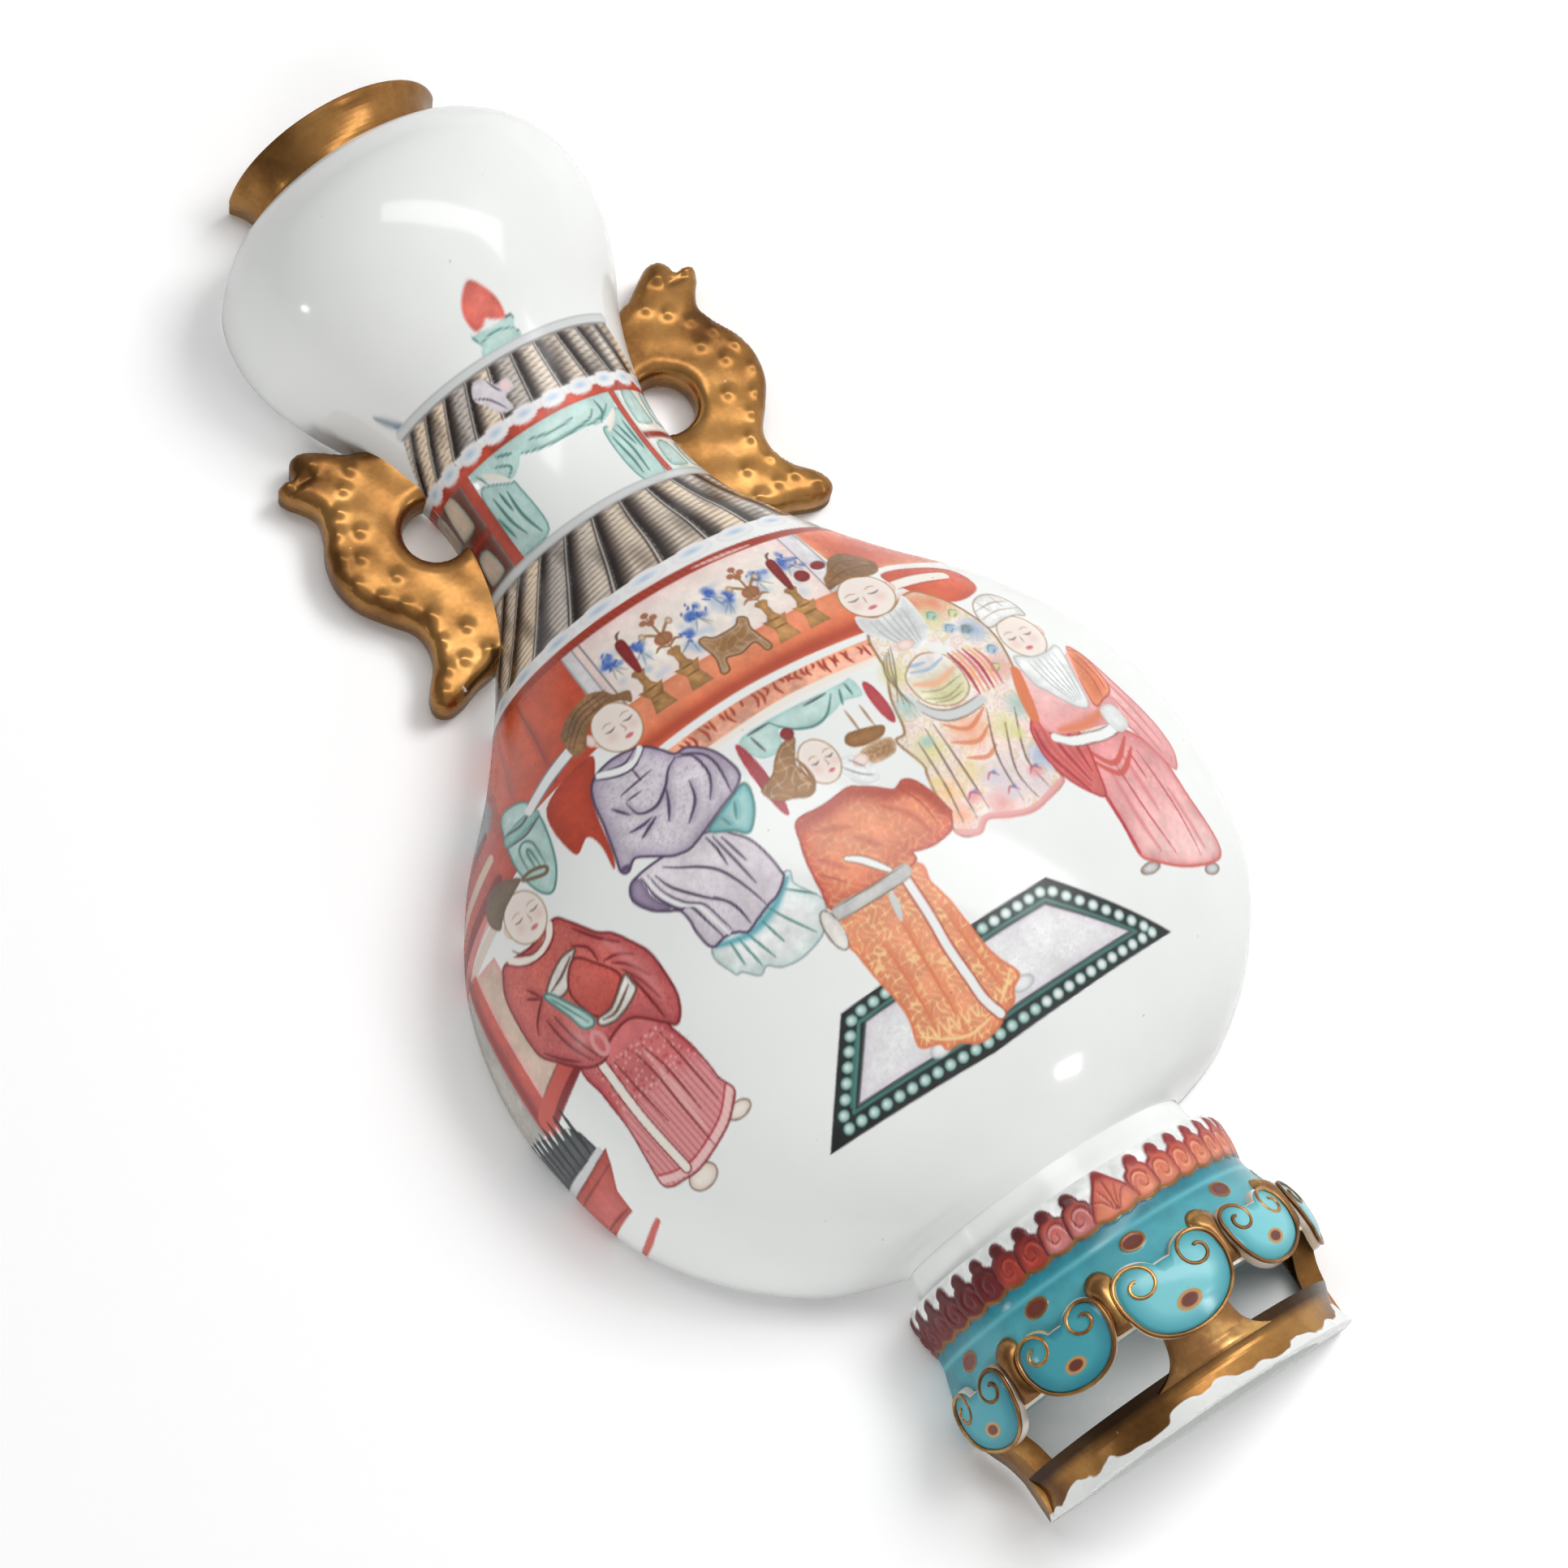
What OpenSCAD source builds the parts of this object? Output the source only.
// Half-round wall vase: garlic head, flattened belly, two flat beast handles and an openwork stand.
// Built lying in its own planes: flat back at y = 0 facing +Y, front to -Y, foot on z = 0.
// The finished pieces are set back by half the depth, so the origin is the middle of the base.

/* [Foot] */
// Width across the lower edge of the foot ring
foot_w = 43.8; // [42:0.2:46]
// Height of the foot ring
foot_h = 5.5; // [4.5:0.5:8]
// Width of the foot ring's hollow side, seen from above
foot_hollow = 0.7; // [0:0.1:1.5]
// Radial thickness of the foot ring
foot_t = 4.8; // [4:0.2:6]
// Depth of the recess under the foot
recess_h = 1; // [0.5:0.1:2]
// Thickness of the plate that closes the foot
plate_t = 2.5; // [1.5:0.1:3]

/* [Stand] */
// Height of the openwork between the foot ring and the apron
gap_h = 6; // [5:0.5:9]
// Width of the front leg along the curve, in degrees
leg_turn = 20; // [12:1:26]
// Width of each corner leg along the curve, in degrees
corner_turn = 15; // [10:1:20]
// Width across the widest part of the apron
apron_w = 47.8; // [46:0.2:52]
// Height of the apron
apron_h = 12; // [10:0.5:16]
// Width across the apron's drawn-in upper edge
apron_top_w = 43.4; // [42:0.2:46]
// Width across the petal collar
collar_w = 44; // [42:0.2:48]
// Height of the petal collar
collar_h = 6; // [4:0.5:9]
// Width of the vase's own foot, between the collar and the belly
waist_w = 39.2; // [37:0.2:41]
// Height of the vase's own foot
waist_h = 3.5; // [2.5:0.5:6]

/* [Ruyi heads] */
// Width of the middle head
ruyi_middle_w = 14.4; // [11:0.2:15]
// Width of the heads beside it
ruyi_side_w = 12.2; // [9:0.2:13]
// Angle between neighbouring heads
ruyi_pitch = 34.5; // [32.5:0.5:36]
// How far a head stands out of the apron
ruyi_t = 1; // [0.6:0.1:1.6]
// Height of the heads' tops above the apron's lower edge
ruyi_top = 6.7; // [6:0.1:8]

/* [Belly] */
// Width across the belly
belly_w = 97; // [84:0.2:112]
// Depth of the belly from back to front
belly_d = 31.5; // [29:0.5:44]
// Height from the vase's foot to the base of the neck
belly_h = 89; // [76:1:104]

/* [Neck and head] */
// Width of the neck's base
neck_base_w = 42; // [40:0.2:46]
// Width of the neck where it is narrowest
neck_w = 31; // [28:0.2:34]
// Height of the neck
neck_h = 34; // [31:0.5:40]
// Width where the neck meets the head
head_base_w = 38.6; // [36:0.2:42]
// Width across the head
head_w = 51; // [47:0.2:57]
// Height of the head
head_h = 33; // [28:0.5:40]

/* [Lip] */
// Width of the lip where it leaves the head
lip_base_w = 27; // [26:0.2:30]
// Width across the rim
lip_w = 31; // [29:0.2:34]
// Height of the lip
lip_h = 6; // [5:0.5:9]
// Thickness of the rim
rim_t = 1.3; // [0.8:0.1:2]
// Width of the mouth
mouth_w = 22; // [19:0.2:23]

/* [Walls] */
// Thickness of the walls
wall = 2.8; // [2:0.1:3.4]
// Thickness of the flat back
back_t = 3; // [2.4:0.1:4]
// Thickness of the vase's floor
floor_t = 3.2; // [2.4:0.1:4]
// Room left where curved faces are luted together
joint_gap = 0.1; // [0.05:0.01:0.2]

/* [Hanging hole] */
// Diameter of the hole in the back
hang_d = 7; // [5:0.5:9]
// Height of the hole above the base of the neck
hang_up = 10; // [7:0.5:14]

/* [Handles] */
// Thickness of each handle
handle_t = 5; // [3.5:0.1:6.5]
// How far each handle reaches out of the narrowest neck
handle_reach = 15.6; // [14.5:0.1:18]
// Height of each handle
handle_h = 39; // [36:0.5:42]
// Radius of the finger hole between handle and neck
loop_r = 4.1; // [3.4:0.1:4.6]

/* [Hidden] */
$fn = 96;

porcelain = [0.92, 0.93, 0.92];
gilt = [0.70, 0.48, 0.24];
turquoise = [0.30, 0.69, 0.76];
petal_red = [0.78, 0.35, 0.32];

// Levels, from the foot up
z_gap = foot_h;
z_apron = z_gap + gap_h;
z_collar = z_apron + apron_h;
z_waist = z_collar + collar_h;
z_belly = z_waist + waist_h;
z_neck = z_belly + belly_h;
z_head = z_neck + neck_h;
z_lip = z_head + head_h;
z_top = z_lip + lip_h;

// Radii
foot_r = foot_w / 2;
apron_r = apron_w / 2;
apron_top_r = apron_top_w / 2;
collar_r = collar_w / 2;
waist_r = waist_w / 2;
waist_foot_r = 1.025 * waist_r;
belly_r = belly_w / 2;
neck_base_r = neck_base_w / 2;
neck_r = neck_w / 2;
head_base_r = head_base_w / 2;
head_r = head_w / 2;
lip_base_r = lip_base_w / 2;
lip_r = lip_w / 2;
mouth_r = mouth_w / 2;
foot_in_r = foot_r - foot_t;
core_r = waist_r - wall;
floor_r = waist_r - wall / 2;

// Room for the cutting blocks, past the widest and tallest the vase gets
reach = belly_w + handle_reach;

// Steps along each stretch of a curve, and slices round the belly
curve_steps = 4;
belly_steps = 3;
belly_slices = 32;

// Point on the smooth curve through the stations p, between station i and the next
function between(p, i, u) =
    let (a = p[max(i - 1, 0)], b = p[i], c = p[i + 1], d = p[min(i + 2, len(p) - 1)])
    b + u * ((c - a) / 2 + u * (a - 2.5 * b + 2 * c - d / 2 + u * (1.5 * (b - c) + (d - a) / 2)));

// Smooth curve through the stations from first to last
function curve(p, first, last, steps) = [
    for (i = [first : last - 1]) for (k = [0 : steps - 1]) between(p, i, k / steps),
    p[last]
];

// Closed smooth curve through the stations
function loop(p, steps) = [
    for (i = [0 : len(p) - 1]) for (k = [0 : steps - 1])
        between([for (j = [-1 : 2]) p[(i + j + len(p)) % len(p)]], 1, k / steps)
];

function backward(p) = [for (i = [len(p) - 1 : -1 : 0]) p[i]];

// Change of column c for each step up at station i
function slope(p, i, c) =
    let (a = p[max(i - 1, 0)], b = p[min(i + 1, len(p) - 1)], z = len(b) - 1)
    (b[c] - a[c]) / (b[z] - a[z]);

// Stations moved inwards by a wall that is measured square to the surface
function hollowed(p, i) =
    let (z = len(p[i]) - 1)
    [for (c = [0 : z]) c == z ? p[i][c] : p[i][c] - wall * sqrt(1 + pow(slope(p, i, c), 2))];

// Half width of a half-round section where it lands on the flat back
function landing(r, d) = r * sqrt(1 - pow(back_t / d, 2));

// Upper vase, [radius, height]: stations 0 to 5 are the neck and 5 to 12 the head
upper = [
    [neck_base_r, z_neck],
    [neck_r + 0.47 * (neck_base_r - neck_r), z_neck + 0.155 * neck_h],
    [neck_r + 0.09 * (neck_base_r - neck_r), z_neck + 0.36 * neck_h],
    [neck_r, z_neck + 0.58 * neck_h],
    [neck_r + 0.34 * (head_base_r - neck_r), z_neck + 0.79 * neck_h],
    [head_base_r, z_head],
    [head_base_r + 0.52 * (head_r - head_base_r), z_head + 0.19 * head_h],
    [head_base_r + 0.90 * (head_r - head_base_r), z_head + 0.385 * head_h],
    [head_r, z_head + 0.58 * head_h],
    [lip_base_r + 0.89 * (head_r - lip_base_r), z_head + 0.77 * head_h],
    [lip_base_r + 0.56 * (head_r - lip_base_r), z_head + 0.92 * head_h],
    [lip_base_r + 0.24 * (head_r - lip_base_r), z_head + 0.98 * head_h],
    [lip_base_r, z_lip]
];
joint_station = 5;
shoulder_station = 10;
top_station = 12;
upper_in = [for (i = [0 : shoulder_station]) hollowed(upper, i)];

// Belly, [half width, depth, height]: swells from the vase's foot and draws in to the neck
widest = 5;
swell = [
    // share of the width, share of the depth, share of the height
    [0, 0, 0], [0.32, 0.18, 0.036], [0.64, 0.52, 0.118], [0.88, 0.82, 0.230], [0.98, 0.97, 0.360],
    [1, 1, 0.483], [0.90, 0.91, 0.624], [0.655, 0.68, 0.753], [0.325, 0.38, 0.865],
    [0.11, 0.14, 0.949], [0, 0, 1]
];
belly = [
    for (i = [0 : len(swell) - 1])
        let (r = i < widest ? waist_r : neck_base_r)
        [r + swell[i][0] * (belly_r - r), r + swell[i][1] * (belly_d - r), z_belly + swell[i][2] * belly_h]
];
belly_top = len(belly) - 1;
belly_out = curve(belly, 0, belly_top, belly_steps);
ledge_r = floor_r + joint_gap;
ledge = [ledge_r, ledge_r, belly[1][2]];
hollow = curve([for (i = [1 : belly_top]) hollowed(belly, i)], 0, belly_top - 1, belly_steps);
belly_in = concat([[ledge_r, ledge_r, z_belly], ledge, (ledge + hollow[0]) / 2], hollow);

// Stand, [radius, height]: the legs, stations 0 to 3, leave the foot ring upright and swing out to the
// apron, stations 3 to 8, which bulges low and draws in under the collar
stand = [
    [foot_r, z_gap],
    [foot_r + 0.25 * (apron_r - foot_r), z_gap + 0.40 * gap_h],
    [foot_r + 0.70 * (apron_r - foot_r), z_gap + 0.78 * gap_h],
    [foot_r + 0.92 * (apron_r - foot_r), z_apron],
    [apron_r, z_apron + 0.20 * apron_h],
    [apron_r - 0.16 * (apron_r - apron_top_r), z_apron + 0.42 * apron_h],
    [apron_r - 0.56 * (apron_r - apron_top_r), z_apron + 0.64 * apron_h],
    [apron_r - 0.90 * (apron_r - apron_top_r), z_apron + 0.85 * apron_h],
    [apron_top_r, z_collar]
];
apron_station = 3;
collar_station = 8;
stand_out = curve(stand, 0, collar_station, curve_steps);
leg_out = curve(stand, 0, apron_station, curve_steps);
apron_out = curve(stand, apron_station, collar_station, curve_steps);

// Outline of the right handle, [out from the narrowest neck, up from its base], as shares of the
// reach and the height: brow, snout, open mouth, jaw, throat, chest, belly and turned-out tail
beast = [
    [0.21, 0.890], [0.36, 0.915], [0.53, 0.962], [0.65, 0.990], [0.75, 0.988], [0.81, 0.962],
    [0.835, 0.928], [0.91, 0.928], [0.985, 0.912], [0.963, 0.874], [0.88, 0.830], [0.825, 0.780],
    [0.87, 0.713], [0.963, 0.638], [1, 0.550], [0.95, 0.457], [0.815, 0.375], [0.67, 0.298],
    [0.65, 0.222], [0.72, 0.152], [0.86, 0.085], [0.895, 0.030], [0.815, -0.002], [0.67, 0.003],
    [0.49, 0.030], [0.27, 0.050], [-0.1, 0.115], [-0.1, 0.780]
];
handle_z = z_neck - 0.013 * handle_h;
loop_out = 0.1 * handle_reach;
loop_up = 0.54 * handle_h;

// Outlines that several pieces share
upper_out = curve(upper, 0, top_station, curve_steps);
back_outline = concat(
    [for (p = belly_out) [landing(p[0], p[1]), p[2]]],
    [for (i = [1 : len(upper_out) - 1]) [landing(upper_out[i][0], upper_out[i][0]), upper_out[i][1]]]
);

// Block that takes away whatever lies behind the front of the flat back
module back_block() {
    translate([-reach, -back_t, -1]) cube([2 * reach, reach, z_top + 2]);
}

// Turned form standing on the flat back
module turned(profile) {
    difference() {
        rotate_extrude() polygon(profile);
        back_block();
    }
}

// Band of the wall's thickness that lies behind the line p, [radius, height]
function band(p) = concat(p, backward([for (q = p) [q[0] - wall, q[1]]]));

// Leg of the stand from one angle to another, counted to the right from the front
module leg(from, to) {
    rotate([0, 0, from - 90]) rotate_extrude(angle = to - from) polygon(band(leg_out));
}

// Slab of the flat back with the outline of the half widths in p, [half width, height]
module slab(p) {
    outline = concat(p, backward([for (q = p) [-q[0], q[1]]]));
    rotate([90, 0, 0]) linear_extrude(back_t) polygon(outline);
}

// Elliptical wall between two lines of as many points, [half width, depth, height], swept round from
// one side to the other so that both ends lie on the flat back
module swept(out, inner, slices) {
    profile = concat(out, backward(inner));
    m = len(profile);
    last = slices * m;
    points = [
        for (j = [0 : slices]) for (p = profile)
            let (a = acos(back_t / p[1]) * (2 * j / slices - 1))
            [p[0] * sin(a), -p[1] * cos(a), p[2]]
    ];
    sides = [
        for (j = [0 : slices - 1]) for (i = [0 : m - 1])
            let (a = j * m + i, b = j * m + (i + 1) % m)
            each [[a, b, b + m], [a, b + m, a + m]]
    ];
    ends = [
        for (i = [0 : len(out) - 2])
            let (a = i, b = i + 1, c = m - 2 - i, d = m - 1 - i)
            each [[a, c, b], [a, d, c], [last + a, last + b, last + c], [last + a, last + c, last + d]]
    ];
    polyhedron(points, concat(sides, ends));
}

module foot_ring() {
    waist_line = [
        [foot_r, 0], [foot_r - 0.75 * foot_hollow, 0.35 * foot_h],
        [foot_r - foot_hollow, 0.62 * foot_h], [foot_r, foot_h]
    ];
    out = curve(waist_line, 0, len(waist_line) - 1, curve_steps);
    color(gilt) turned(concat(out, [[foot_in_r, foot_h], [foot_in_r, 0]]));
}

module foot_plate() {
    r = foot_in_r - joint_gap;
    color(porcelain) turned([[0, recess_h], [r, recess_h], [r, recess_h + plate_t], [0, recess_h + plate_t]]);
}

module front_leg() {
    color(gilt) leg(-leg_turn / 2, leg_turn / 2);
}

module right_leg() {
    color(gilt) difference() {
        leg(90 - corner_turn, 90);
        back_block();
    }
}

module left_leg() {
    mirror([1, 0, 0]) right_leg();
}

module apron() {
    color(turquoise) turned(band(apron_out));
}

// Ruyi head: two rolled lobes over a rounded tongue, following the bulge of the stand
module ruyi_head(width, angle) {
    lobe_r = 0.255 * width;
    tongue_r = 0.36 * width;
    raised = [for (p = stand_out) [p[0] + ruyi_t, p[1]]];
    color(turquoise) intersection() {
        rotate_extrude() polygon(concat(raised, backward(stand_out)));
        rotate([0, 0, angle]) translate([0, 0, z_apron + ruyi_top - tongue_r])
            rotate([90, 0, 0]) linear_extrude(apron_w) union() {
                for (side = [-1, 1])
                    translate([side * (width / 2 - lobe_r), tongue_r - lobe_r]) circle(lobe_r);
                circle(tongue_r);
            }
    }
}

module ruyi_far_left() {
    ruyi_head(ruyi_side_w, -2 * ruyi_pitch);
}

module ruyi_left() {
    ruyi_head(ruyi_side_w, -ruyi_pitch);
}

module ruyi_middle() {
    ruyi_head(ruyi_middle_w, 0);
}

module ruyi_right() {
    ruyi_head(ruyi_side_w, ruyi_pitch);
}

module ruyi_far_right() {
    ruyi_head(ruyi_side_w, 2 * ruyi_pitch);
}

module petal_collar() {
    edge = 0.1 * collar_h;
    cup = [
        [collar_r - edge / 2, z_collar], [collar_r, z_collar + 0.35 * collar_h],
        [collar_r, z_collar + 0.75 * collar_h], [collar_r - edge, z_waist]
    ];
    out = curve(cup, 0, len(cup) - 1, curve_steps);
    color(petal_red) turned(concat(out, [[core_r, z_waist], [core_r, z_collar]]));
}

module waist_ring() {
    color(porcelain)
        turned([[core_r, z_waist], [waist_foot_r, z_waist], [waist_r, z_belly], [core_r, z_belly]]);
}

module stand_back() {
    sides = concat(
        [[landing(foot_r, foot_r), 0]],
        [for (p = leg_out) [landing(p[0], p[0]), p[1]]],
        [for (p = apron_out) [landing(p[0], p[0]), p[1]]],
        [[landing(apron_top_r, apron_top_r), z_waist], [landing(waist_foot_r, waist_foot_r), z_waist]],
        [[landing(waist_r, waist_r), z_belly]]
    );
    color(porcelain) slab(sides);
}

module vase_floor() {
    color(porcelain)
        turned([[0, z_belly], [floor_r, z_belly], [floor_r, z_belly + floor_t], [0, z_belly + floor_t]]);
}

module belly_shell() {
    color(porcelain) swept(belly_out, belly_in, belly_slices);
}

module back_slab() {
    color(porcelain) difference() {
        slab(back_outline);
        translate([0, 1, z_neck + hang_up]) rotate([90, 0, 0]) cylinder(h = back_t + 2, d = hang_d);
    }
}

module neck_shell() {
    out = curve(upper, 0, joint_station, curve_steps);
    inner = curve(upper_in, 0, joint_station, curve_steps);
    color(porcelain) turned(concat(out, backward(inner)));
}

module head_shell() {
    out = curve(upper, joint_station, top_station, curve_steps);
    inner = curve(upper_in, joint_station, shoulder_station, curve_steps);
    mouth = [[mouth_r, z_lip], [mouth_r, z_lip - wall]];
    color(porcelain) turned(concat(out, mouth, backward(inner)));
}

module lip() {
    flare = [
        [lip_base_r, z_lip], [lip_base_r + 0.04 * (lip_r - lip_base_r), z_lip + 0.30 * lip_h],
        [lip_base_r + 0.45 * (lip_r - lip_base_r), z_lip + 0.68 * lip_h], [lip_r, z_lip + 0.93 * lip_h],
        [lip_r - 0.4 * rim_t, z_top]
    ];
    out = curve(flare, 0, len(flare) - 1, curve_steps);
    throat = [[lip_r - rim_t, z_lip + 0.93 * lip_h], [mouth_r, z_lip + 0.45 * lip_h], [mouth_r, z_lip]];
    color(gilt) union() {
        turned(concat(out, throat));
        slab([for (p = out) [landing(p[0], p[0]), p[1]]]);
    }
}

module right_handle() {
    outline = [for (p = beast) [neck_r + p[0] * handle_reach, handle_z + p[1] * handle_h]];
    shoulder = belly[belly_top - 1];
    skin = concat([[shoulder[0], shoulder[2]]], upper_out);
    core = concat([[0, shoulder[2]]], [for (p = skin) [p[0] + joint_gap, p[1]]], [[0, z_lip]]);
    color(gilt) difference() {
        rotate([90, 0, 0]) linear_extrude(handle_t) polygon(loop(outline, curve_steps));
        turned(core);
        slab(back_outline);
        translate([neck_r + loop_out, 1, handle_z + loop_up])
            rotate([90, 0, 0]) cylinder(h = handle_t + 2, r = loop_r);
    }
}

module left_handle() {
    mirror([1, 0, 0]) right_handle();
}

// Sets a finished piece back, so that the vase's depth is centred on the origin
module set_back() {
    translate([0, belly_d / 2, 0]) children();
}

set_back() foot_ring();
set_back() foot_plate();
set_back() front_leg();
set_back() left_leg();
set_back() right_leg();
set_back() apron();
set_back() ruyi_far_left();
set_back() ruyi_left();
set_back() ruyi_middle();
set_back() ruyi_right();
set_back() ruyi_far_right();
set_back() petal_collar();
set_back() waist_ring();
set_back() stand_back();
set_back() vase_floor();
set_back() belly_shell();
set_back() back_slab();
set_back() neck_shell();
set_back() head_shell();
set_back() lip();
set_back() left_handle();
set_back() right_handle();
